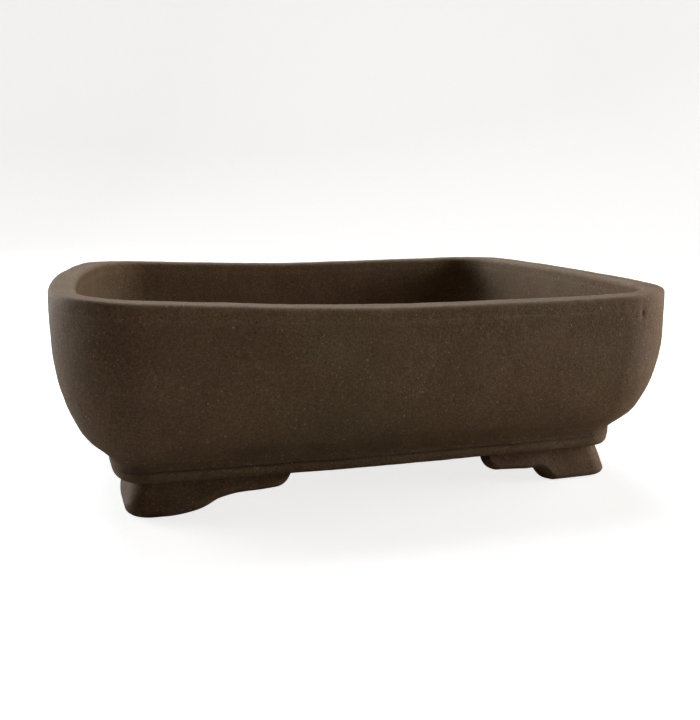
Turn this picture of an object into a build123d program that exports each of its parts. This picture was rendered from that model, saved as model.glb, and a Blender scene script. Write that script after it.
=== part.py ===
from build123d import *

import math
import os

# A bonsai pot of pressed clay slabs: four bellied walls on a floor slab, a rim strip,
# a moulding round the base and four bracket feet.  Millimetres, X along the length,
# front towards -Y, feet standing on Z = 0 under the middle of the pot.

# Overall size at the rim
LENGTH = 250.0
WIDTH = 204.5
HEIGHT = 84.0

# Distance that reaches past the pot in any direction, for cutting solids
REACH = LENGTH

# Plan shape: every side is one shallow arc, joined by rounder corner arcs
END_BOW_RADIUS = 556.0
SIDE_BOW_RADIUS = 2120.0
RIM_CORNER_RADIUS = 34.0
# how much smaller the corner radius gets for each millimetre further in, down to the smallest
CORNER_TIGHTENING = 1.05
SMALLEST_CORNER_RADIUS = 4.0

# Heights of the horizontal joints
FOOT_HEIGHT = 14.0
FLOOR_TOP = 21.0
RIM_STRIP_HEIGHT = 6.0
RIM_SAG = 3.8
RIM_EDGE_RADIUS = 1.6

# Belly of the walls, outside and inside, as (height, how far in from the rim outline)
OUTER_BELLY = (
    (FLOOR_TOP, 16.9),
    (22.0, 16.7),
    (23.3, 15.8),
    (25.2, 13.9),
    (29.6, 9.5),
    (37.9, 4.85),
    (47.8, 1.6),
    (57.7, 0.05),
    (67.6, -0.45),
    (76.7, -0.45),
    (HEIGHT + 4.0, 0.2),
)
INNER_BELLY = (
    (FLOOR_TOP, 28.5),
    (26.0, 24.6),
    (31.5, 19.6),
    (39.5, 14.7),
    (49.0, 11.3),
    (59.0, 9.6),
    (68.0, 9.0),
    (77.0, 9.0),
    (HEIGHT + 4.0, 9.6),
)

# Base moulding: short upright band, flush with the foot of the walls, above a quarter-round
MOULDING_INSET = 16.9
MOULDING_BAND = 1.8
MOULDING_FOOT_INSET = 20.8
FLOOR_EDGE_INSET = 25.0

# Floor holes
DRAIN_DIAMETER = 24.0
DRAIN_SPACING = 104.0
WIRE_HOLE_DIAMETER = 5.0
WIRE_HOLE_SPACING_X = 150.0
WIRE_HOLE_SPACING_Y = 84.0

# Clay coil pressed into the corner between walls and floor, with a blunt upper lip:
# (height above the floor, how far its hollow face stands in from the rim outline)
COIL_FACE = (
    (0.0, 33.5),
    (1.3, 31.1),
    (3.4, 27.9),
    (5.0, 25.8),
)

# Bracket feet: a deep block at the corner stepping up to a thin wing on each side
FOOT_TOP_INSET = 23.6
FOOT_BOTTOM_INSET = 21.0
FOOT_CORNER_RADIUS = 6.0
FOOT_BAND = 7.0
FOOT_BLOCK_SIDE = 75.0
# the wings under the long sides are cut by eye: the left pair reaches further in
FOOT_WING_LEFT = 38.6
FOOT_WING_RIGHT = 44.0
FOOT_BLOCK_END = 52.0
FOOT_WING_END = 26.0
WING_BOTTOM = 6.9
WING_END_RADIUS = 6.5
STEP_LENGTH = 15.0
FOOT_EDGE_RADIUS = 1.6


def tangent_arcs(inset, corner):
    """Centre, radius, start angle and sweep of the eight arcs of one plan outline."""
    end_radius = END_BOW_RADIUS - inset
    side_radius = SIDE_BOW_RADIUS - inset
    end_centre = LENGTH / 2 - inset - end_radius
    side_centre = WIDTH / 2 - inset - side_radius
    # the corner circle touches both bows from inside: intersect the two centre circles
    reach_end = end_radius - corner
    reach_side = side_radius - corner
    gap = math.hypot(end_centre, side_centre)
    along = (reach_side**2 - reach_end**2 + gap**2) / (2 * gap)
    across = math.sqrt(reach_side**2 - along**2)
    unit_x = end_centre / gap
    unit_y = -side_centre / gap
    corner_x = unit_x * along + unit_y * across
    corner_y = side_centre + unit_y * along - unit_x * across
    low = math.degrees(math.atan2(corner_y, corner_x - end_centre))
    high = math.degrees(math.atan2(corner_y - side_centre, corner_x))
    return [
        ((end_centre, 0), end_radius, -low, 2 * low),
        ((corner_x, corner_y), corner, low, high - low),
        ((0, side_centre), side_radius, high, 180 - 2 * high),
        ((-corner_x, corner_y), corner, 180 - high, high - low),
        ((-end_centre, 0), end_radius, 180 - low, 2 * low),
        ((-corner_x, -corner_y), corner, 180 + low, high - low),
        ((0, -side_centre), side_radius, 180 + high, 180 - 2 * high),
        ((corner_x, -corner_y), corner, -high, high - low),
    ]


def outline(inset, height, corner=None):
    """Face of the plan outline at one height; corners tighten with the inset unless given."""
    if corner is None:
        corner = max(RIM_CORNER_RADIUS - CORNER_TIGHTENING * inset, SMALLEST_CORNER_RADIUS)
    arcs = []
    for centre, radius, start, sweep in tangent_arcs(inset, corner):
        arcs.append(CenterArc((centre[0], centre[1], height), radius, start, sweep))
    return Face(Wire(arcs))


def column(inset, bottom, top):
    """Upright solid of one outline."""
    return extrude(outline(inset, bottom), top - bottom)


def bellied(profile):
    """Smooth solid through the outlines of a belly profile."""
    return loft([outline(inset, height) for height, inset in profile])


def saddle(middle_height, end_height):
    """Block whose top dips along X from both ends to the middle, the same all the way across."""
    half = LENGTH / 2
    dip_radius = (half**2 + (end_height - middle_height) ** 2) / (2 * (end_height - middle_height))
    block = Box(2 * REACH, 2 * REACH, 2 * HEIGHT)
    dip = Pos(0, 0, middle_height + dip_radius) * Rot(90, 0, 0) * Cylinder(dip_radius, 2 * REACH)
    return block - dip


def sector(angle):
    """Wedge of space belonging to the side that faces the given direction."""
    offset = (LENGTH - WIDTH) / 2
    if angle % 180 == 0:
        points = [(offset, 0), (offset + REACH, REACH), (offset + REACH, -REACH)]
    else:
        points = [(offset, 0), (offset + REACH, REACH), (-offset - REACH, REACH), (-offset, 0)]
    flip = 180 if angle in (180, 270) else 0
    wedge = extrude(Face(Wire.make_polygon(points, close=True)), HEIGHT + 20, dir=(0, 0, 1))
    return Rot(0, 0, flip) * wedge


def quarter(side_x, side_y):
    """Quarter of space holding one foot."""
    return Pos(side_x * REACH / 2, side_y * REACH / 2, 0) * Box(REACH, REACH, 4 * HEIGHT)


def under_wing(block_reach, wing_reach):
    """Side view of half the space between two feet: half the gap, a wing and the step to its block."""
    step = block_reach - STEP_LENGTH
    with BuildSketch() as space:
        with BuildLine():
            Spline(
                (block_reach, 0),
                (block_reach - 0.53 * STEP_LENGTH, 0.53 * WING_BOTTOM),
                (step, WING_BOTTOM),
                tangents=[(-1, 0.12), (-1, 0.06)],
            )
            Line((step, WING_BOTTOM), (wing_reach + WING_END_RADIUS, WING_BOTTOM))
            CenterArc(
                (wing_reach + WING_END_RADIUS, WING_BOTTOM + WING_END_RADIUS),
                WING_END_RADIUS,
                180,
                90,
            )
            Polyline(
                (wing_reach, WING_BOTTOM + WING_END_RADIUS),
                (wing_reach, FOOT_HEIGHT + 1),
                (0, FOOT_HEIGHT + 1),
                (0, -1),
                (block_reach, -1),
                (block_reach, 0),
            )
        make_face()
    return space.sketch


def export_sides(whole, kind):
    """Write the four mitred lengths of a solid that runs round the pot."""
    for quarter_turn, side in enumerate(("right", "back", "left", "front")):
        export_step(whole & sector(90 * quarter_turn), f"parts/{side}_{kind}.step")


os.makedirs("parts", exist_ok=True)

# Walls and rim are cut from one bellied shell
shell = bellied(OUTER_BELLY) - bellied(INNER_BELLY)
below_rim = saddle(HEIGHT - RIM_SAG - RIM_STRIP_HEIGHT, HEIGHT - RIM_STRIP_HEIGHT)
below_top = saddle(HEIGHT - RIM_SAG, HEIGHT)
export_sides(shell & below_rim, "wall")
rim_strip = (shell & below_top) - below_rim
lowest_top = HEIGHT - RIM_SAG - 0.1
top_edges = rim_strip.edges().filter_by(lambda edge: edge.bounding_box().min.Z > lowest_top)
rim_strip = fillet(top_edges, RIM_EDGE_RADIUS)
export_step(rim_strip, "parts/rim_strip.step")

# Floor slab with its drain and wire holes
floor_slab = column(FLOOR_EDGE_INSET, FOOT_HEIGHT, FLOOR_TOP)
for x in (-DRAIN_SPACING / 2, DRAIN_SPACING / 2):
    floor_slab -= Pos(x, 0, FOOT_HEIGHT) * Cylinder(DRAIN_DIAMETER / 2, 4 * FOOT_HEIGHT)
for x in (-WIRE_HOLE_SPACING_X / 2, WIRE_HOLE_SPACING_X / 2):
    for y in (-WIRE_HOLE_SPACING_Y / 2, WIRE_HOLE_SPACING_Y / 2):
        floor_slab -= Pos(x, y, FOOT_HEIGHT) * Cylinder(WIRE_HOLE_DIAMETER / 2, 4 * FOOT_HEIGHT)
export_step(floor_slab, "parts/floor_slab.step")

# Base moulding: upright band, then a quarter-round in to its lower edge
round_depth = MOULDING_FOOT_INSET - MOULDING_INSET
round_height = FLOOR_TOP - MOULDING_BAND - FOOT_HEIGHT
round_steps = []
for step in range(7):
    turn = math.radians(15 * step)
    round_steps.append(
        outline(
            MOULDING_INSET + round_depth * (1 - math.cos(turn)),
            FLOOR_TOP - MOULDING_BAND - round_height * math.sin(turn),
        )
    )
moulding = column(MOULDING_INSET, FLOOR_TOP - MOULDING_BAND, FLOOR_TOP) + loft(round_steps)
belt_moulding = moulding - column(FLOOR_EDGE_INSET, FOOT_HEIGHT, FLOOR_TOP)
export_step(belt_moulding, "parts/belt_moulding.step")

# Four lengths of coil sealing the inside corner
cavity = bellied(INNER_BELLY)
coil_space = cavity & column(0, FLOOR_TOP, FLOOR_TOP + COIL_FACE[-1][0])
seam_coil = coil_space - bellied([(FLOOR_TOP + rise, inset) for rise, inset in COIL_FACE])
export_sides(seam_coil, "coil")

# Feet: one flared ring of clay cut to both side views, then quartered
foot_ring = loft(
    [
        outline(FOOT_BOTTOM_INSET, 0, FOOT_CORNER_RADIUS),
        outline(FOOT_TOP_INSET, FOOT_HEIGHT, FOOT_CORNER_RADIUS),
    ]
)
foot_ring -= extrude(outline(FOOT_BOTTOM_INSET + FOOT_BAND, 0, FOOT_CORNER_RADIUS), FOOT_HEIGHT)
right_gap = extrude(Plane.XZ * under_wing(FOOT_BLOCK_SIDE, FOOT_WING_RIGHT), REACH, both=True)
left_gap = extrude(Plane.XZ * under_wing(FOOT_BLOCK_SIDE, FOOT_WING_LEFT), REACH, both=True)
end_gap = extrude(Plane.YZ * under_wing(FOOT_BLOCK_END, FOOT_WING_END), REACH, both=True)
foot_ring -= right_gap + mirror(left_gap, about=Plane.YZ)
foot_ring -= end_gap + mirror(end_gap, about=Plane.XZ)
for row, side_y in (("front", -1), ("back", 1)):
    for end, side_x in (("left", -1), ("right", 1)):
        foot = foot_ring & quarter(side_x, side_y)
        sole_edges = foot.edges().filter_by(lambda edge: edge.bounding_box().max.Z < 0.01)
        export_step(fillet(sole_edges, FOOT_EDGE_RADIUS), f"parts/foot_{row}_{end}.step")
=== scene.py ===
import math

import bpy
import numpy as np
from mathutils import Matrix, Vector
from mathutils.geometry import delaunay_2d_cdt


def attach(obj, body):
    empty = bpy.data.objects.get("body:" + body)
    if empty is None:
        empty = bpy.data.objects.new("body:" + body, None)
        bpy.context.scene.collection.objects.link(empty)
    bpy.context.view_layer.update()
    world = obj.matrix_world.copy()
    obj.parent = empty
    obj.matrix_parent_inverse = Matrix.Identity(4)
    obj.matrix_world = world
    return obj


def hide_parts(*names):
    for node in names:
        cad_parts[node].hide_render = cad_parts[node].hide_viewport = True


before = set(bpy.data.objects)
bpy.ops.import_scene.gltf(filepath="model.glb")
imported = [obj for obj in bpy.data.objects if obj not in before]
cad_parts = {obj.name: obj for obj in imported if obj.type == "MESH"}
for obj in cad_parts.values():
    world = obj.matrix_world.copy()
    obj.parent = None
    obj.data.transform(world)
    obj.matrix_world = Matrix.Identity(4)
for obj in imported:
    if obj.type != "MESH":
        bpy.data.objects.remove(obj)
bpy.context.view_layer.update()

# ---------------------------------------------------------------------------
# Driving sizes, in millimetres; a surface point is written as (inset, height),
# where the inset is how far it stands in from the outline of the rim
# ---------------------------------------------------------------------------
MM = 0.001
LENGTH = 250.0
WIDTH = 204.5
END_BOW_RADIUS = 556.0
SIDE_BOW_RADIUS = 2120.0
RIM_CORNER_RADIUS = 34.0
CORNER_TIGHTENING = 1.05
SMALLEST_CORNER_RADIUS = 4.0

FOOT_HEIGHT = 14.0
FLOOR_TOP = 21.0
STRIP_BOTTOM = 76.4
RIM_TOP = 82.4

OUTER_BELLY = (
    (16.9, 21.0), (16.75, 21.9), (16.0, 23.0), (14.5, 24.6), (9.5, 29.6), (4.85, 37.9),
    (1.6, 47.8), (0.05, 57.7), (-0.35, 67.6), (-0.35, 76.4), (0.0, 82.4),
)
INNER_BELLY = (
    (28.5, 21.0), (24.6, 26.0), (19.6, 31.5), (14.7, 39.5), (11.3, 49.0),
    (9.6, 59.0), (9.2, 68.0), (9.3, 76.4), (9.6, 82.4),
)
RIM_ROUND_OUT = 1.7
RIM_ROUND_IN = 2.0

BELT_TOP_INSET = 16.9
BELT_FOOT_INSET = 20.8
BELT_BAND = 1.8
GROOVE_HEIGHT = 18.95
GROOVE_WIDTH = 0.5
GROOVE_DEPTH = 0.6
FLOOR_EDGE_INSET = 25.0

COIL_FACE = ((33.5, 21.0), (31.1, 22.3), (27.9, 24.4), (25.8, 26.0))

DRAIN_SPACING = 104.0
DRAIN_RADIUS = 12.0
WIRE_HOLE_SPACING = (150.0, 84.0)
WIRE_HOLE_RADIUS = 2.5
HOLE_ROUNDING = 1.4

FOOT_TOP_INSET = 23.6
FOOT_BOTTOM_INSET = 20.8
FOOT_BAND = 7.0
FOOT_EDGE_ROUNDING = 2.4
FOOT_CORNER_RADIUS = 9.0

# Undersides of the feet as (distance from the middle of the side, height): sole, ogee step, wing
LONG_OGEE = ((84.0, 0.0), (78.0, 0.5), (71.0, 2.2), (65.8, 4.9), (60.5, 6.2), (50.0, 7.0), (38.6, 7.8))
SHORT_OGEE = (
    (72.6, 0.0), (71.2, 0.6), (69.7, 2.2), (68.3, 4.1), (66.2, 5.3), (60.0, 5.7), (52.0, 6.1), (44.0, 6.4),
)
END_OGEE = ((54.0, 0.0), (50.0, 0.7), (45.5, 3.2), (41.5, 5.7), (37.0, 6.6), (31.0, 7.0), (26.0, 7.2))

# Spacing of the mesh: over the visible clay, along the coil and over the floor
GRID = 0.62
COIL_GRID = 1.2
FLOOR_GRID = 3.0

# Sag of the long edges at their middle, how much lower the right end stands, the twist of the
# rim, and how far the moulding is shifted in at the right end
FRONT_SAG = 4.0
BACK_SAG = 3.2
END_DROP = 0.8
TWIST = 0.75
MOULDING_SHIFT = 1.5


# ---------------------------------------------------------------------------
# Plan outline, profile curves and the irregularity of a hand-built pot
# ---------------------------------------------------------------------------
def plan(inset, turn, corner=None):
    """Points of the outline at the insets; turn runs 0 to 8 through the eight tangent arcs."""
    inset, turn = np.broadcast_arrays(np.asarray(inset, float), np.asarray(turn, float))
    if corner is None:
        corner = np.maximum(RIM_CORNER_RADIUS - CORNER_TIGHTENING * inset, SMALLEST_CORNER_RADIUS)
    corner = np.broadcast_to(corner, inset.shape)
    end_radius = END_BOW_RADIUS - inset
    side_radius = SIDE_BOW_RADIUS - inset
    end_centre = LENGTH / 2 - inset - end_radius
    side_centre = WIDTH / 2 - inset - side_radius
    # the corner circle touches both bows from inside: intersect the two centre circles
    reach_end = end_radius - corner
    reach_side = side_radius - corner
    gap = np.hypot(end_centre, side_centre)
    along = (reach_side**2 - reach_end**2 + gap**2) / (2 * gap)
    across = np.sqrt(reach_side**2 - along**2)
    corner_x = end_centre / gap * along - side_centre / gap * across
    corner_y = side_centre - side_centre / gap * along - end_centre / gap * across
    low = np.arctan2(corner_y, corner_x - end_centre)
    high = np.arctan2(corner_y - side_centre, corner_x)
    zero = np.zeros_like(inset)
    arcs = (
        (end_centre, zero, end_radius, -low, 2 * low),
        (corner_x, corner_y, corner, low, high - low),
        (zero, side_centre, side_radius, high, np.pi - 2 * high),
        (-corner_x, corner_y, corner, np.pi - high, high - low),
        (-end_centre, zero, end_radius, np.pi - low, 2 * low),
        (-corner_x, -corner_y, corner, np.pi + low, high - low),
        (zero, -side_centre, side_radius, np.pi + high, np.pi - 2 * high),
        (corner_x, -corner_y, corner, -high, high - low),
    )
    arc_number = np.floor(turn % 8).astype(int)
    share = turn % 8 - arc_number
    centre_x, centre_y, radius, start, sweep = (
        np.choose(arc_number, [values[i] for values in arcs]) for i in range(5)
    )
    angle = start + sweep * share
    return centre_x + radius * np.cos(angle), centre_y + radius * np.sin(angle)


def through(places, values, slopes, where):
    """Smooth curve through the values with the slopes at the places, worked out at other places."""
    k = np.clip(np.searchsorted(places, where) - 1, 0, len(places) - 2)
    span = places[k + 1] - places[k]
    t = np.clip((where - places[k]) / span, 0, 1)
    return (
        (2 * t**3 - 3 * t**2 + 1) * values[k]
        + (t**3 - 2 * t**2 + t) * span * slopes[k]
        + (3 * t**2 - 2 * t**3) * values[k + 1]
        + (t**3 - t**2) * span * slopes[k + 1]
    )


def curve(knots, height):
    """Points at the heights on the smooth curve through (inset, height) knots."""
    inset, rise = np.array(knots).T
    value = through(rise, inset, np.gradient(inset, rise), height)
    return np.stack([value, np.asarray(height, float)], 1)


def smooth(t):
    """Ease from 0 to 1."""
    t = np.clip(t, 0, 1)
    return t * t * (3 - 2 * t)


def waves(points, size, count, seed):
    """Soft random field of about unit height with bumps about the given size in millimetres."""
    source = np.random.default_rng(seed)
    total = np.zeros(points.shape[:-1])
    for _ in range(count):
        direction = source.normal(size=3)
        direction /= np.linalg.norm(direction)
        rate = 2 * np.pi / (size * source.uniform(0.7, 1.6))
        total += np.sin(points @ direction * rate + source.uniform(0, 2 * np.pi))
    return total / math.sqrt(count / 2)


# Small damage: where it is, which way the clay was pushed, how wide and tall it is, how deep
MARKS = (
    # chip under the front rim near the right corner
    ((94.9, -99.6, 72.8), (-0.2, 1.0, 0.0), (0.8, 1.5), 0.6),
    # pits inside the right wall and a nick in the back rim
    ((114.6, -26.6, 74.5), (1.0, 0.2, 0.0), (0.6, 0.8), 0.6),
    ((114.1, -36.0, 76.7), (1.0, 0.2, 0.0), (0.7, 0.6), 0.5),
    ((-80.5, 98.0, 80.9), (0.2, -1.0, 0.0), (1.2, 1.4), 0.6),
    # pits in the front left foot
    ((-85.0, -81.5, 7.4), (0.0, 1.0, 0.0), (0.55, 0.55), 0.6),
    ((-85.2, -81.7, 4.6), (0.0, 1.0, 0.0), (0.5, 0.5), 0.5),
    # crease and dents at the top of the front right foot
    ((96.0, -80.5, 8.3), (-0.3, 1.0, 0.0), (5.5, 0.55), 0.5),
    ((94.5, -79.5, 11.6), (-0.3, 1.0, 0.0), (0.7, 0.8), 0.5),
    ((97.5, -78.5, 11.0), (-0.5, 1.0, 0.0), (0.7, 1.4), 0.45),
    ((100.5, -74.0, 10.5), (-1.0, 0.4, 0.0), (0.8, 2.2), 0.5),
)


def settle(points):
    """Warp of drying and firing: sagging, twisted rim, hand pressure and a finely lumpy skin."""
    x = points[..., 0] / (LENGTH / 2)
    y = points[..., 1] / (WIDTH / 2)
    grow = np.clip((points[..., 2] / RIM_TOP - 0.3) / 0.7, 0, 1)
    middle_x = np.clip(1 - x**2, 0, 1)
    middle_y = np.clip(1 - y**2, 0, 1)
    beside = np.clip(np.abs(y), 0, 1)
    sag = np.where(y < 0, FRONT_SAG, BACK_SAG) * middle_x * beside
    # a slower second dip along each long edge
    sag += np.where(y < 0, 0.25, 0.35) * middle_x * np.cos(5.2 * x + 0.6) * beside
    out = points.copy()
    out[..., 2] += grow * (-sag - END_DROP * x + TWIST * x * y)
    out[..., 1] += grow * np.where(y < 0, 0.35, -0.6) * middle_x * beside
    out[..., 0] += grow * 0.25 * x * y * middle_y
    # the moulding sits a little further in at the right end
    belt = smooth((points[..., 2] - 13.5) / 4) * smooth((27 - points[..., 2]) / 6)
    out[..., 0] -= MOULDING_SHIFT * belt * smooth((x - 0.5) / 0.3)
    # hand pressure in the faces, nothing at the soles
    free = smooth(points[..., 2] / 10)
    side = points / np.array([LENGTH / 2, WIDTH / 2, 1.0])
    side[..., 2] = 0
    side /= np.maximum(np.linalg.norm(side, axis=-1, keepdims=True), 0.3)
    push = 0.16 * waves(points, 62, 7, 11) + 0.07 * waves(points, 21, 9, 12)
    skin = 0.022 * waves(points, 6, 16, 14) + 0.014 * waves(points, 2.6, 20, 15)
    out += side * (((push - 0.25) * free) + skin * (0.3 + 0.7 * free))[..., None]
    out[..., 2] += (0.05 * waves(points, 30, 7, 13) + 0.02 * waves(points, 5, 14, 16)) * free
    for centre, push_way, (wide, tall), depth in MARKS:
        offset = out - np.array(centre)
        push_way = np.array(push_way) / np.linalg.norm(push_way)
        across = np.cross(push_way, [0, 0, 1])
        near = ((offset @ across) / wide)**2 + (offset[..., 2] / tall)**2
        close = np.abs(offset @ push_way) < 5
        out += push_way * (depth * np.exp(-near) * close)[..., None]
    return out


# ---------------------------------------------------------------------------
# Sections: closed outlines that go up the outside and down the inside
# ---------------------------------------------------------------------------
def heights(start, stop, knots):
    """Heights from start to stop, one grid step apart along the curve through the knots."""
    fine = np.linspace(start, stop, 400)
    inset = curve(knots, fine)[:, 0]
    far = np.concatenate([[0], np.cumsum(np.hypot(np.diff(inset), np.diff(fine)))])
    return np.interp(np.linspace(0, far[-1], int(round(far[-1] / GRID)) + 1), far, fine)


def at(knots, height):
    """Inset of the curve through the knots at one height."""
    return float(curve(knots, np.array([height]))[0, 0])


def arc(centre, radius, start, stop):
    """Points (inset, height) of a rounding; angles in degrees, 0 towards the outside, 90 up."""
    count = max(int(math.radians(abs(stop - start)) * radius / GRID) + 2, 5)
    angle = np.radians(np.linspace(start, stop, count))
    return np.stack([centre[0] - radius * np.cos(angle), centre[1] + radius * np.sin(angle)], 1)


def between(first, last, spacing=GRID):
    """Evenly spaced points strictly between two points."""
    first, last = np.asarray(first, float), np.asarray(last, float)
    count = max(int(round(np.linalg.norm(last - first) / spacing)), 2)
    steps = np.linspace(0, 1, count + 1)[1:-1, None]
    return first * (1 - steps) + last * steps


def arris(section):
    """How sharply the section turns outwards at each point, from 0 on the flat to 1 on an edge."""
    before = section - np.roll(section, 1, axis=-2)
    after = np.roll(section, -1, axis=-2) - section
    turn = before[..., 1] * after[..., 0] - before[..., 0] * after[..., 1]
    step_in = np.linalg.norm(before, axis=-1)
    step_out = np.linalg.norm(after, axis=-1)
    angle = np.arcsin(np.clip(turn / np.maximum(step_in * step_out, 1e-6), -1, 1))
    spacing = (step_in + step_out) / 2
    edge = np.clip(angle / np.maximum(spacing, 0.3) * 1.3, 0, 1)
    return (edge + np.roll(edge, 1, axis=-1) + np.roll(edge, -1, axis=-1)) / 3


# ---------------------------------------------------------------------------
# Mesh builders
# ---------------------------------------------------------------------------
def turns(start, stop, spacing):
    """Values of turn from start to stop, spaced evenly along the outline of the rim."""
    fine = np.linspace(start, stop, 8000)
    x, y = plan(0.0, fine)
    far = np.concatenate([[0], np.cumsum(np.hypot(np.diff(x), np.diff(y)))])
    return np.interp(np.linspace(0, far[-1], int(round(far[-1] / spacing)) + 1), far, fine)


def place(section, turn):
    """Settled points of a section, or one section for each row, at the turns."""
    inset, height, turn = np.broadcast_arrays(section[..., 0], section[..., 1], turn[:, None])
    x, y = plan(inset, turn)
    return settle(np.stack([x, y, height], -1))


def quads(rows, columns, wrap):
    """Faces of a grid whose columns close on themselves, and whose rows do too if wrap is set."""
    i = np.arange(rows if wrap else rows - 1)[:, None]
    j = np.arange(columns)[None, :]
    after_i, after_j = (i + 1) % rows, (j + 1) % columns
    corners = (i * columns + j, after_i * columns + j, after_i * columns + after_j, i * columns + after_j)
    return np.stack(np.broadcast_arrays(*corners), -1).reshape(-1, 4).tolist()


def capped(rows, columns):
    """Faces of a bar of sections with both ends closed."""
    last = (rows - 1) * columns
    caps = [list(range(columns)), list(range(last + columns - 1, last - 1, -1))]
    return quads(rows, columns, False) + caps


def make(name, points, faces, material, rise=0.0, edge=0.0, sharp=40):
    """Mesh object from points in millimetres, with the unwarped height and the edge of each."""
    mesh = bpy.data.meshes.new(name)
    mesh.from_pydata((points.reshape(-1, 3) * MM).tolist(), [], faces)
    mesh.shade_smooth()
    mesh.set_sharp_from_angle(angle=math.radians(sharp))
    for label, values in (("rise", rise), ("arris", edge)):
        field = mesh.attributes.new(label, "FLOAT", "POINT")
        values = np.broadcast_to(values, points.shape[:-1]).astype(np.float32).ravel()
        field.data.foreach_set("value", values)
    mesh.materials.append(material)
    obj = bpy.data.objects.new(name, mesh)
    bpy.context.scene.collection.objects.link(obj)
    return obj


def adopt(obj, node):
    """Fix the piece to the pot in place of its CAD node."""
    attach(obj, "root")
    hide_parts(node)
    return obj


def ring(name, section, material, spacing=GRID, vary=None):
    """Closed ring of a section swept all the way round; vary may change the section along it."""
    turn = turns(0, 8, spacing)[:-1]
    faces = quads(len(turn), len(section), True)
    if vary is not None:
        section = vary(np.repeat(section[None], len(turn), 0), turn)
    return make(name, place(section, turn), faces, material, section[..., 1], arris(section))


def lengths(kind, node_kind, section, material, spacing=GRID):
    """A ring cut at the mitres into four pieces, shaded as one surface across the cuts."""
    turn = turns(0, 8, spacing)[:-1]
    points = place(section, turn)
    columns = len(section)
    whole = make("whole", points, quads(len(turn), columns, True), material)
    shading = np.zeros(len(whole.data.loops) * 3, np.float32)
    whole.data.corner_normals.foreach_get("vector", shading)
    shading = shading.reshape(-1, 3)
    for number, side in enumerate(("right", "back", "left", "front")):
        start = (2 * number - 0.5) % 8
        first, last = np.searchsorted(turn, [start, (start + 2) % 8])
        count = (last - first) % len(turn) + 1
        rows = (first + np.arange(count)) % len(turn)
        faces = capped(count, columns)
        piece = make(f"{side}_{kind}", points[rows], faces, material, section[:, 1], arris(section))
        corners = (rows[:-1, None] * columns + np.arange(columns)).ravel()[:, None] * 4 + np.arange(4)
        caps = [[list(face.normal)] * columns for face in piece.data.polygons[-2:]]
        normals = np.concatenate([shading[corners.ravel()], *map(np.array, caps)])
        piece.data.normals_split_custom_set(normals.tolist())
        adopt(piece, f"{side}_{node_kind}")
    bpy.data.objects.remove(whole)


# ---------------------------------------------------------------------------
# Clay: fired stoneware with grog, its colour, grain and wear worked out from position
# ---------------------------------------------------------------------------
class Graph:
    """Short hand for the nodes of one material."""

    def __init__(self, name):
        self.material = bpy.data.materials.new(name)
        self.material.use_nodes = True
        self.tree = self.material.node_tree
        self.shader = self.tree.nodes["Principled BSDF"]

    def add(self, kind, inputs, output, **settings):
        made = self.tree.nodes.new("ShaderNode" + kind)
        for setting, value in settings.items():
            setattr(made, setting, value)
        for key, value in inputs.items():
            if isinstance(value, bpy.types.NodeSocket):
                self.tree.links.new(value, made.inputs[key])
            else:
                made.inputs[key].default_value = value
        return made.outputs[output]

    def noise(self, vector, scale, detail=2.0, roughness=0.5):
        inputs = {"Vector": vector, "Scale": scale, "Detail": detail, "Roughness": roughness}
        return self.add("TexNoise", inputs, "Fac")

    def span(self, value, low, high, start=0.0, stop=1.0):
        """Value from low to high turned into start to stop, held at both ends."""
        inputs = {"Value": value, "From Min": low, "From Max": high, "To Min": start, "To Max": stop}
        return self.add("MapRange", inputs, "Result", interpolation_type="SMOOTHSTEP")

    def calc(self, operation, *values):
        return self.add("Math", dict(enumerate(values)), 0, operation=operation)

    def mix(self, share, first, second, blend="MIX"):
        inputs = {0: share, 6: first, 7: second}
        return self.add("Mix", inputs, 2, data_type="RGBA", blend_type=blend)

    def stretch(self, vector, scale, offset=(0, 0, 0)):
        return self.add("Mapping", {"Vector": vector, "Scale": scale, "Location": offset}, "Vector")

    def specks(self, vector, cells, radius, share):
        """Round grains of up to the radius in metres; share is how many of the cells hold one."""
        made = self.tree.nodes.new("ShaderNodeTexVoronoi")
        made.inputs["Scale"].default_value = cells
        self.tree.links.new(vector, made.inputs["Vector"])
        chance = self.add("SeparateColor", {0: made.outputs["Color"]}, 0)
        size = self.span(chance, 1 - share, 1, 0, radius * cells)
        inside = self.calc("DIVIDE", made.outputs["Distance"], self.calc("MAXIMUM", size, 1e-5))
        return self.span(inside, 1.0, 0.55)


OLIVE = (0.152, 0.113, 0.068, 1)
RUSSET = (0.162, 0.106, 0.067, 1)
MAUVE = (0.154, 0.104, 0.080, 1)
PALE = (0.38, 0.335, 0.265, 1)
# pale edge colour: partly dust of wear, partly painted highlight on the arrises
DUST_AND_HIGHLIGHT = (0.26, 0.215, 0.165, 1)
CHAR = (0.028, 0.02, 0.014, 1)
RUST = (0.085, 0.032, 0.018, 1)
# painted shade: the dark red put into the groove and the hollow at the foot of the walls
GROOVE_SHADE = (0.055, 0.032, 0.018, 1)


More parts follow.
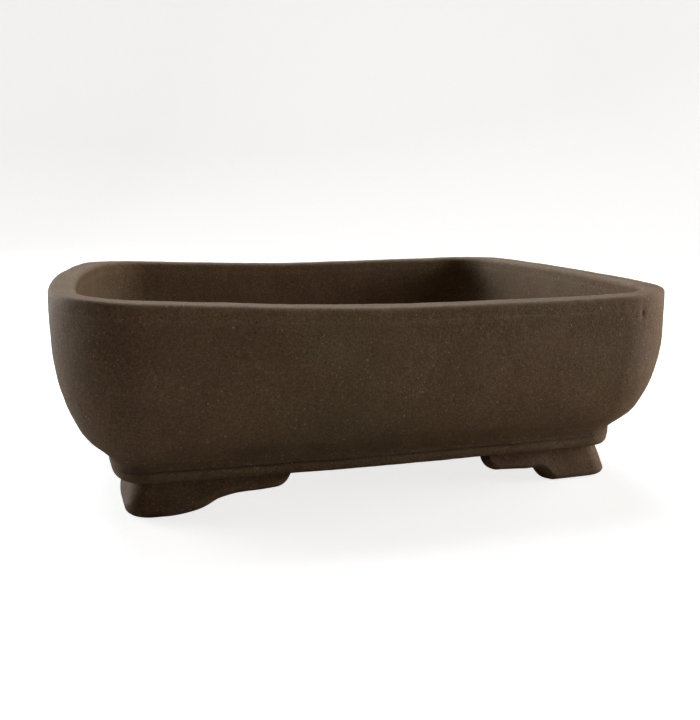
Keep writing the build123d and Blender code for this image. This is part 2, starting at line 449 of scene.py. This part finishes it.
def fired_colour(graph, here, rise, red):
    """Base colour before the grain: firing clouds, flushes, and painted shade in the hollows."""
    # colour: broad firing clouds, then mauve and red flushes
    clouds = graph.noise(here, 17, 3, 0.55)
    colour = graph.mix(graph.span(clouds, 0.36, 0.64), OLIVE, RUSSET)
    flush = graph.noise(graph.stretch(here, (1, 1, 1.5), (0.4, 0.2, 0)), 34, 4, 0.6)
    colour = graph.mix(graph.span(flush, 0.56, 0.74, 0, 0.75), colour, MAUVE)
    flame = graph.noise(graph.stretch(here, (1, 1, 1.6), (0.1, 0.6, 0)), 38, 3, 0.55)
    colour = graph.mix(graph.span(flame, 0.42, 0.64, 0.3 * red, red), colour, RUST)

    # painted shade: dark red laid into the incised line and into the hollow at the foot of the walls
    for level, reach, depth in ((GROOVE_HEIGHT, 1.2, 0.6), (FLOOR_TOP - 0.2, 2.6, 0.6)):
        away = graph.calc("ABSOLUTE", graph.calc("SUBTRACT", rise, level))
        patchy = graph.span(clouds, 0.3, 0.6, 0.6 * depth, depth)
        # painted shade mask, strongest on the groove and hollow heights, broken up by the clouds
        painted_shade = graph.calc("MULTIPLY", graph.span(away, reach, 0.1), patchy)
        colour = graph.mix(painted_shade, colour, GROOVE_SHADE)
    return colour


def scratched_line(graph, colour, place_at, axes, rise):
    """Colour with a faint scratched line where the rim strip was joined on."""
    line = graph.span(graph.calc("ABSOLUTE", graph.calc("SUBTRACT", rise, STRIP_BOTTOM + 0.9)), 0.32, 0.05)
    line = graph.calc("MULTIPLY", line, graph.span(graph.noise(place_at, 95, 2), 0.45, 0.6))
    line = graph.calc("MULTIPLY", line, graph.span(axes.outputs["X"], 0.0, 0.015))
    line = graph.calc("MULTIPLY", line, graph.span(axes.outputs["X"], 0.07, 0.055))
    line = graph.calc("MULTIPLY", line, graph.span(axes.outputs["Y"], -0.05, -0.07))
    return graph.mix(graph.calc("MULTIPLY", line, 0.22), colour, PALE)


def relief(graph, place_at, axes, rise, sand, tooth, pale, dark):
    """Height of the fine relief: tooth, sand, smoothing streaks, open pores and proud grog."""
    streaks = graph.noise(graph.stretch(place_at, (14, 14, 520)), 1.0, 3, 0.6)
    scrapes = graph.noise(graph.stretch(place_at, (480, 480, 14)), 1.0, 3, 0.6)
    corner = graph.calc("MULTIPLY", graph.span(axes.outputs["X"], -0.085, -0.11), graph.span(rise, 84, 60))
    band = graph.calc("MULTIPLY", graph.span(rise, 66, 72), graph.span(rise, 82, 80))
    coarse = graph.span(band, 0, 1, 0.55, 1.0)
    height = graph.calc("MULTIPLY", sand, coarse)
    height = graph.calc("ADD", height, graph.calc("MULTIPLY", tooth, 0.4))
    height = graph.calc("ADD", height, graph.calc("MULTIPLY", streaks, 0.35))
    height = graph.calc("ADD", height, graph.calc("MULTIPLY", graph.calc("MULTIPLY", scrapes, corner), 0.4))
    height = graph.calc("SUBTRACT", height, graph.calc("MULTIPLY", dark, 0.8))
    height = graph.calc("ADD", height, graph.calc("MULTIPLY", pale, 0.3))
    return height


def clay(name, tone, dust_and_highlight, red, seed):
    """One piece's clay: its brightness, how pale its edges are rubbed and painted with highlight, and how
    red its flushes are.
    """
    graph = Graph(name)
    place_at = graph.add("TexCoord", {}, "Object")
    axes = graph.tree.nodes.new("ShaderNodeSeparateXYZ")
    graph.tree.links.new(place_at, axes.inputs[0])
    rise = graph.add("Attribute", {}, "Fac", attribute_name="rise")
    edge = graph.add("Attribute", {}, "Fac", attribute_name="arris")
    here = graph.stretch(place_at, (1, 1, 1), (seed, 0, 0))

    colour = fired_colour(graph, here, rise, red)

    # grain: sandy tooth in the colour, with pale and dark grog
    sand = graph.noise(place_at, 1000, 3, 0.7)
    tooth = graph.noise(place_at, 2500, 2, 0.6)
    shade = graph.span(sand, 0.32, 0.68, 0.78, 1.22)
    shade = graph.calc("MULTIPLY", shade, graph.span(tooth, 0.3, 0.7, 0.76, 1.24))
    shade = graph.calc("MULTIPLY", shade, graph.span(graph.noise(here, 55, 3, 0.5), 0.3, 0.7, 0.93, 1.07))
    shade = graph.calc("MULTIPLY", shade, tone)
    grey = graph.add("CombineColor", {0: shade, 1: shade, 2: shade}, 0)
    colour = graph.mix(1.0, colour, grey, "MULTIPLY")
    fine_pale = graph.specks(here, 800, 0.00034, 0.6)
    fine_dark = graph.specks(graph.stretch(here, (1, 1, 1), (0.3, 0, 0)), 700, 0.00036, 0.5)
    pale = graph.specks(here, 330, 0.0005, 0.45)
    dark = graph.specks(graph.stretch(here, (1, 1, 1), (0, 0.7, 0)), 300, 0.0005, 0.4)
    rusty = graph.specks(graph.stretch(here, (1, 1, 1), (0, 0, 0.9)), 150, 0.0012, 0.4)
    colour = graph.mix(graph.calc("MULTIPLY", fine_pale, 0.58), colour, PALE)
    colour = graph.mix(graph.calc("MULTIPLY", fine_dark, 0.6), colour, CHAR)
    colour = graph.mix(graph.calc("MULTIPLY", pale, 0.7), colour, PALE)
    colour = graph.mix(graph.calc("MULTIPLY", dark, 0.65), colour, CHAR)
    colour = graph.mix(graph.calc("MULTIPLY", rusty, 0.3), colour, RUST)

    # wear and painted highlight: edges rubbed pale and painted lighter where they would catch the light,
    # with the clay still showing through in places
    rubbed_and_highlight = graph.calc("MULTIPLY", edge, graph.span(graph.noise(here, 210, 4, 0.6), 0.35, 0.65, 0.25, 1))
    colour = graph.mix(graph.calc("MULTIPLY", rubbed_and_highlight, dust_and_highlight), colour, DUST_AND_HIGHLIGHT)

    colour = scratched_line(graph, colour, place_at, axes, rise)
    graph.tree.links.new(colour, graph.shader.inputs["Base Color"])

    # roughness: drier where sandy and on the rubbed edges
    rough = graph.calc("ADD", graph.span(sand, 0.3, 0.7, 0.62, 0.74), graph.calc("MULTIPLY", rubbed_and_highlight, 0.06))
    graph.tree.links.new(rough, graph.shader.inputs["Roughness"])

    height = relief(graph, place_at, axes, rise, sand, tooth, pale, dark)
    bump = graph.add("Bump", {"Strength": 0.9, "Distance": 0.00022, "Height": height}, "Normal")
    graph.tree.links.new(bump, graph.shader.inputs["Normal"])
    graph.shader.inputs["Specular IOR Level"].default_value = 0.22
    return graph.material


wall_clay = clay("wall_clay", tone=1.0, dust_and_highlight=0.35, red=0.1, seed=0.0)
rim_clay = clay("rim_clay", tone=1.06, dust_and_highlight=0.45, red=0.1, seed=0.0)
moulding_clay = clay("moulding_clay", tone=1.1, dust_and_highlight=0.2, red=0.3, seed=1.3)
foot_clay = clay("foot_clay", tone=1.05, dust_and_highlight=0.4, red=0.55, seed=2.1)
floor_clay = clay("floor_clay", tone=0.93, dust_and_highlight=0.3, red=0.2, seed=3.4)

# ---------------------------------------------------------------------------
# Walls, rim, base moulding and the coil in the inside corner
# ---------------------------------------------------------------------------
outer_low = (OUTER_BELLY[0][0], FLOOR_TOP)
inner_low = (INNER_BELLY[0][0], FLOOR_TOP)
outer_high = (at(OUTER_BELLY, STRIP_BOTTOM), STRIP_BOTTOM)
inner_high = (at(INNER_BELLY, STRIP_BOTTOM), STRIP_BOTTOM)
wall_section = np.concatenate([
    curve(OUTER_BELLY, heights(FLOOR_TOP, STRIP_BOTTOM, OUTER_BELLY)),
    between(outer_high, inner_high, 2),
    curve(INNER_BELLY, heights(FLOOR_TOP, STRIP_BOTTOM, INNER_BELLY))[::-1],
    between(inner_low, outer_low, 2),
])
lengths("wall_body", "wall", wall_section, wall_clay)

rim_out = RIM_TOP - RIM_ROUND_OUT
rim_in = RIM_TOP - RIM_ROUND_IN
rim_section = np.concatenate([
    curve(OUTER_BELLY, heights(STRIP_BOTTOM, rim_out, OUTER_BELLY)),
    arc((at(OUTER_BELLY, rim_out) + RIM_ROUND_OUT, rim_out), RIM_ROUND_OUT, 0, 90)[1:],
    between((RIM_ROUND_OUT, RIM_TOP), (at(INNER_BELLY, rim_in) - RIM_ROUND_IN, RIM_TOP)),
    arc((at(INNER_BELLY, rim_in) - RIM_ROUND_IN, rim_in), RIM_ROUND_IN, 90, 180)[:-1],
    curve(INNER_BELLY, heights(STRIP_BOTTOM, rim_in, INNER_BELLY))[::-1],
    between(inner_high, outer_high, 2),
])
adopt(ring("rim_band", rim_section, rim_clay), "rim_strip")

quarter = np.radians(np.linspace(90, 0, 15))
groove = FLOOR_TOP - BELT_BAND
round_top = groove - GROOVE_WIDTH
belt_section = np.concatenate([
    # quarter-round, the incised line above it, then the band flush with the walls
    np.stack([
        BELT_FOOT_INSET - (BELT_FOOT_INSET - BELT_TOP_INSET) * np.cos(quarter),
        round_top - (round_top - FOOT_HEIGHT) * np.sin(quarter),
    ], 1),
    [(BELT_TOP_INSET + 0.12, GROOVE_HEIGHT)],
    [(BELT_TOP_INSET, groove)],
    [(BELT_TOP_INSET, groove + 0.2)],
    between((BELT_TOP_INSET, groove + 0.35), (BELT_TOP_INSET, FLOOR_TOP)),
    [(BELT_TOP_INSET, FLOOR_TOP)],
    between((BELT_TOP_INSET, FLOOR_TOP), (FLOOR_EDGE_INSET, FLOOR_TOP), 1.0),
    [(FLOOR_EDGE_INSET, FLOOR_TOP)],
    between((FLOOR_EDGE_INSET, FLOOR_TOP), (FLOOR_EDGE_INSET, FOOT_HEIGHT), 1.5),
    [(FLOOR_EDGE_INSET, FOOT_HEIGHT)],
    between((FLOOR_EDGE_INSET, FOOT_HEIGHT), (BELT_FOOT_INSET, FOOT_HEIGHT), 1.0),
])
GROOVE_POINT = len(quarter) + 1


def incise(section, turn):
    """Press the line into the moulding: deep along the sides, smeared shut round the corners."""
    on_side = smooth((np.abs((turn % 2) - 1.5) - 0.38) / 0.3)
    depth = GROOVE_DEPTH * (0.1 + 0.9 * on_side) * (1 + 0.25 * np.sin(9 * turn) * np.sin(23 * turn))
    section[:, GROOVE_POINT, 0] += depth
    return section


moulding = ring("base_moulding", belt_section, moulding_clay, vary=incise)
adopt(moulding, "belt_moulding")

coil_low, coil_high = COIL_FACE[0], COIL_FACE[-1]
coil_section = np.concatenate([
    curve(INNER_BELLY, heights(FLOOR_TOP, coil_high[1], INNER_BELLY)),
    curve(COIL_FACE, heights(FLOOR_TOP, coil_high[1], COIL_FACE))[::-1],
    between(coil_low, inner_low, 1.5),
])
lengths("seam_coil", "coil", coil_section, floor_clay, COIL_GRID)


# ---------------------------------------------------------------------------
# Floor slab with softened drain and wire holes
# ---------------------------------------------------------------------------
def join_loops(upper, lower):
    """Quads between two rings of points, facing the middle of the hole."""
    size = len(upper)
    return [[upper[i], upper[(i + 1) % size], lower[(i + 1) % size], lower[i]] for i in range(size)]


def floor_holes():
    """Centre and radius of every hole in the floor."""
    holes = [((side * DRAIN_SPACING / 2, 0.0), DRAIN_RADIUS) for side in (-1, 1)]
    for x in (-WIRE_HOLE_SPACING[0] / 2, WIRE_HOLE_SPACING[0] / 2):
        for y in (-WIRE_HOLE_SPACING[1] / 2, WIRE_HOLE_SPACING[1] / 2):
            holes.append(((x, y), WIRE_HOLE_RADIUS))
    return holes


def floor_plate(holes):
    """Flat triangulated plate: its points, its triangles, and the loops of its outline and holes."""
    edge_x, edge_y = plan(FLOOR_EDGE_INSET + 0.02, turns(0, 8, FLOOR_GRID)[:-1])
    loops = [np.stack([edge_x, edge_y], 1)]
    for (x, y), radius in holes:
        lip = radius + HOLE_ROUNDING
        angle = np.linspace(0, 2 * np.pi, max(int(2 * np.pi * lip / 1.2), 24), endpoint=False)
        loops.append(np.stack([x + lip * np.cos(angle), y + lip * np.sin(angle)], 1))
    grid = np.stack(np.meshgrid(
        np.arange(-LENGTH / 2, LENGTH / 2, FLOOR_GRID), np.arange(-WIDTH / 2, WIDTH / 2, FLOOR_GRID),
    ), -1).reshape(-1, 2)
    inside_x, inside_y = LENGTH / 2 - FLOOR_EDGE_INSET - 10, WIDTH / 2 - FLOOR_EDGE_INSET - 8
    keep = (np.abs(grid[:, 0]) < inside_x) & (np.abs(grid[:, 1]) < inside_y)
    for (x, y), radius in holes:
        keep &= np.hypot(grid[:, 0] - x, grid[:, 1] - y) > radius + HOLE_ROUNDING + FLOOR_GRID / 2
    flat = np.concatenate(loops + [grid[keep]])
    edges = []
    owner = np.full(len(flat), -1)
    start = 0
    for number, loop in enumerate(loops):
        count = len(loop)
        edges += [(start + i, start + (i + 1) % count) for i in range(count)]
        owner[start:start + count] = number
        start += count
    triangles = np.array(delaunay_2d_cdt([Vector(p) for p in flat.tolist()], edges, [], 0, 1e-4)[2])
    # a triangle with its three corners on the edge of one hole lies in that hole
    owners = owner[triangles]
    in_hole = (owners[:, 0] > 0) & (owners[:, 0] == owners[:, 1]) & (owners[:, 1] == owners[:, 2])
    return flat, triangles[~in_hole], loops


def base_slab():
    """Slab with wavy faces and a rounded lip at both ends of every hole."""
    holes = floor_holes()
    flat, triangles, loops = floor_plate(holes)
    # how far the wall of a hole stands in from its lip, and at what height, from top to bottom
    levels = [(0.0, FLOOR_TOP)]
    for degrees in (30, 60, 90):
        t = math.radians(degrees)
        levels.append((HOLE_ROUNDING * math.sin(t), FLOOR_TOP - HOLE_ROUNDING * (1 - math.cos(t))))
    levels += [(inward, FLOOR_TOP + FOOT_HEIGHT - height) for inward, height in levels[::-1]]
    count = len(flat)
    points = [np.column_stack([flat, np.full(count, z)]) for z in (FLOOR_TOP, FOOT_HEIGHT)]
    faces = triangles.tolist() + (triangles[:, ::-1] + count).tolist()
    # outer wall, then each hole's wall from lip to lip
    rim = len(loops[0])
    faces += [[i, i + count, (i + 1) % rim + count, (i + 1) % rim] for i in range(rim)]
    begin, added = rim, 2 * count
    for (centre, radius), loop in zip(holes, loops[1:]):
        lip = radius + HOLE_ROUNDING
        size = len(loop)
        previous = list(range(begin, begin + size))
        for inward, height in levels[1:-1]:
            shrunk = np.array(centre) + (loop - centre) * (lip - inward) / lip
            points.append(np.column_stack([shrunk, np.full(size, height)]))
            current = list(range(added, added + size))
            faces += join_loops(previous, current)
            previous, added = current, added + size
        faces += join_loops(previous, list(range(begin + count, begin + count + size)))
        begin += size
    return make("base_slab", settle(np.concatenate(points)), faces, floor_clay)


adopt(base_slab(), "floor_slab")


# ---------------------------------------------------------------------------
# Feet
# ---------------------------------------------------------------------------
def underside(far, knots, tip):
    """Height of the underside at a distance from the middle of the side; the last knot is the tip."""
    far_knots, heights_there = np.array(knots[::-1]).T
    slope = np.gradient(heights_there, far_knots)
    slope[-1] = 0
    height = through(far_knots, heights_there, slope, far)
    tip_part = np.clip((far_knots[0] + tip - far) / tip, 0, 1)
    return np.maximum(height, 0) + tip * (1 - np.sqrt(1 - tip_part**2 * 0.9999))


def foot_section(low, spread, rounding):
    """Closed section of a foot with its underside at the height low, flared more by the spread."""
    deep = FOOT_HEIGHT - low
    flare = FOOT_TOP_INSET + (FOOT_BOTTOM_INSET - spread - FOOT_TOP_INSET) * deep / FOOT_HEIGHT
    back = FOOT_BOTTOM_INSET + FOOT_BAND
    # the rounding is as tall as asked, but no wider than the band allows
    r = min(rounding, deep * 0.45)
    w = min(r, FOOT_BAND * 0.4)
    angle = np.radians(np.linspace(-90, 0, 8))[:, None]
    front_round = np.hstack([flare + w - w * np.cos(angle), low + r + r * np.sin(angle)])
    back_round = np.hstack([back - w + w * np.cos(angle), low + r + r * np.sin(angle)])[::-1]
    rise = np.linspace(0, 1, 20)[1:, None]
    over = np.linspace(0, 1, 10)[1:, None]
    up = np.array([flare, low + r]) * (1 - rise) + np.array([FOOT_TOP_INSET, FOOT_HEIGHT]) * rise
    across = np.array([FOOT_TOP_INSET, FOOT_HEIGHT]) * (1 - over) + np.array([back, FOOT_HEIGHT]) * over
    down = np.array([back, FOOT_HEIGHT]) * (1 - over) + np.array([back, low + r]) * over
    under = np.array([back - w, low]) * (1 - over) + np.array([flare + w, low]) * over
    return np.concatenate([front_round, up, across, down, back_round[1:], under[:-1]])


def foot(name, side_x, side_y, ogee, tip, spread, rounding):
    """L-shaped bracket with the ogee under its long side; spread and rounding are at its corner."""
    node = f"foot_{'front' if side_y < 0 else 'back'}_{'left' if side_x < 0 else 'right'}"
    # path in the first quadrant: from the end side over the corner to the long side
    fine = np.linspace(0.5, 2.5, 8000)
    x, y = plan(FOOT_TOP_INSET, fine, FOOT_CORNER_RADIUS)
    keep = (y >= END_OGEE[-1][0]) & (x >= ogee[-1][0])
    fine, x, y = fine[keep], x[keep], y[keep]
    under = np.where(fine >= 1.5, underside(x, ogee, tip), underside(y, END_OGEE, tip))
    steps = np.sqrt(np.diff(x)**2 + np.diff(y)**2 + np.diff(under)**2)
    far = np.concatenate([[0], np.cumsum(steps)])
    pick = np.linspace(0, far[-1], int(far[-1] / GRID) + 1)
    turn = np.interp(pick, far, fine)
    at_corner = smooth(np.interp(pick, far, 1 - np.abs(fine - 1.5) / 0.9))
    under = np.interp(pick, far, under)
    rounding = FOOT_EDGE_ROUNDING + (rounding - FOOT_EDGE_ROUNDING) * at_corner
    section = np.array([foot_section(*row) for row in zip(under, spread * at_corner, rounding)])
    x, y = plan(section[..., 0], np.broadcast_to(turn[:, None], section.shape[:2]), FOOT_CORNER_RADIUS)
    points = settle(np.stack([x * side_x, y * side_y, section[..., 1]], -1))
    faces = capped(len(turn), section.shape[1])
    if side_x * side_y < 0:
        faces = [face[::-1] for face in faces]
    made = make(name, points, faces, foot_clay, section[..., 1], arris(section), 45)
    return adopt(made, node)


foot("bracket_front_left", -1, -1, LONG_OGEE, tip=5.8, spread=0.3, rounding=5.4)
foot("bracket_front_right", 1, -1, SHORT_OGEE, tip=4.0, spread=0.8, rounding=2.8)
foot("bracket_back_left", -1, 1, LONG_OGEE, tip=5.6, spread=0.5, rounding=2.8)
foot("bracket_back_right", 1, 1, SHORT_OGEE, tip=5.4, spread=0.7, rounding=3.0)


# ---------------------------------------------------------------------------
# Studio
# ---------------------------------------------------------------------------
PAPER_SIDES = 96

# Softboxes in metres and watts: name, place, size, power, colour
COOL = (0.94, 0.97, 1.0)
COOL_LOW = (0.96, 0.98, 1.0)
WARM = (1.0, 0.93, 0.84)
LAMPS = (
    ("overhead", (0.0, 0.6, 1.1), (1.2, 0.9), 15.5, COOL),
    ("left_low", (-1.0, 0.68, 0.3), (0.8, 0.5), 11.5, COOL_LOW),
    ("right_high", (1.1, 0.0, 0.7), (0.8, 0.5), 4.6, WARM),
    ("right_low", (0.66, -0.2, 0.16), (0.4, 0.25), 2.7, WARM),
)
POT_MIDDLE = (0.0, 0.0, 0.05)

LENS = 37.47
CAMERA_PLACE = (-0.08698, -0.34469, 0.11246)
CAMERA_DIP = 11.64
CAMERA_TURN = -15.09
CAMERA_ROLL = 0.29


def paper(name, profile, tint, glow):
    """Round sheet of studio paper from its (radius, height) profile."""
    around = np.linspace(0, 2 * np.pi, PAPER_SIDES, endpoint=False)
    verts = [(r * math.cos(a), r * math.sin(a), z) for r, z in profile for a in around]
    faces = [list(range(PAPER_SIDES))]
    for i in range(len(profile) - 1):
        low = i * PAPER_SIDES
        for j in range(PAPER_SIDES):
            k = (j + 1) % PAPER_SIDES
            faces.append([low + j, low + PAPER_SIDES + j, low + PAPER_SIDES + k, low + k])
    mesh = bpy.data.meshes.new(name)
    mesh.from_pydata(verts, [], faces)
    mesh.shade_smooth()
    obj = bpy.data.objects.new(name, mesh)
    bpy.context.scene.collection.objects.link(obj)
    white = bpy.data.materials.new(name)
    white.use_nodes = True
    shader = white.node_tree.nodes["Principled BSDF"]
    shader.inputs["Base Color"].default_value = (*tint, 1)
    shader.inputs["Roughness"].default_value = 0.95
    shader.inputs["Specular IOR Level"].default_value = 0.0
    shader.inputs["Emission Color"].default_value = (1, 1, 1, 1)
    shader.inputs["Emission Strength"].default_value = glow
    mesh.materials.append(white)
    return obj


def studio_paper(floor_radius, bend, wall_height):
    """Pale floor that curves up into a wall on every side, and the light that it sends back."""
    profile = [(0.02, 0.0), (0.6, 0.0), (floor_radius, 0.0)]
    for i in range(1, 9):
        a = math.radians(90 * i / 8)
        profile.append((floor_radius + bend * math.sin(a), bend - bend * math.cos(a)))
    profile.append((floor_radius + bend, wall_height))
    # the sheet that shows glows a little, so that it is evenly pale, but doesn't light the pot
    sheet = paper("studio_sheet", profile, (0.8, 0.8, 0.8), 0.78)
    sheet.visible_diffuse = False
    sheet.visible_glossy = False
    sheet.visible_shadow = False
    # the sheet that lights the pot from below is plain paper and doesn't show
    bounce = paper("studio_bounce", [(0.02, 0.0), (0.6, 0.0), (1.0, 0.0)], (0.5, 0.46, 0.4), 0.0)
    bounce.visible_camera = False
    bounce.visible_shadow = False


def softbox(name, place_at, size, watts, colour):
    """Rectangular lamp aimed at the middle of the pot."""
    light = bpy.data.lights.new(name, "AREA")
    light.shape = "RECTANGLE"
    light.size, light.size_y = size
    light.energy = watts
    light.color = colour
    obj = bpy.data.objects.new(name, light)
    obj.location = place_at
    obj.rotation_euler = (Vector(POT_MIDDLE) - Vector(place_at)).to_track_quat("-Z", "Y").to_euler()
    obj.visible_camera = False
    bpy.context.scene.collection.objects.link(obj)


studio_paper(floor_radius=1.6, bend=0.5, wall_height=2.4)
for lamp in LAMPS:
    softbox(*lamp)
world = bpy.data.worlds.new("studio_air")
world.use_nodes = True
world.node_tree.nodes["Background"].inputs["Color"].default_value = (1.0, 0.74, 0.46, 1)
world.node_tree.nodes["Background"].inputs["Strength"].default_value = 0.045
bpy.context.scene.world = world
bpy.context.scene.view_settings.view_transform = "Standard"

camera = bpy.data.cameras.new("camera")
camera.lens = LENS
camera.sensor_width = 36
view = bpy.data.objects.new("camera", camera)
bpy.context.scene.collection.objects.link(view)
view.location = CAMERA_PLACE
view.rotation_euler = (math.radians(90 - CAMERA_DIP), 0, math.radians(CAMERA_TURN))
view.rotation_euler.rotate_axis("Z", math.radians(CAMERA_ROLL))
bpy.context.scene.camera = view
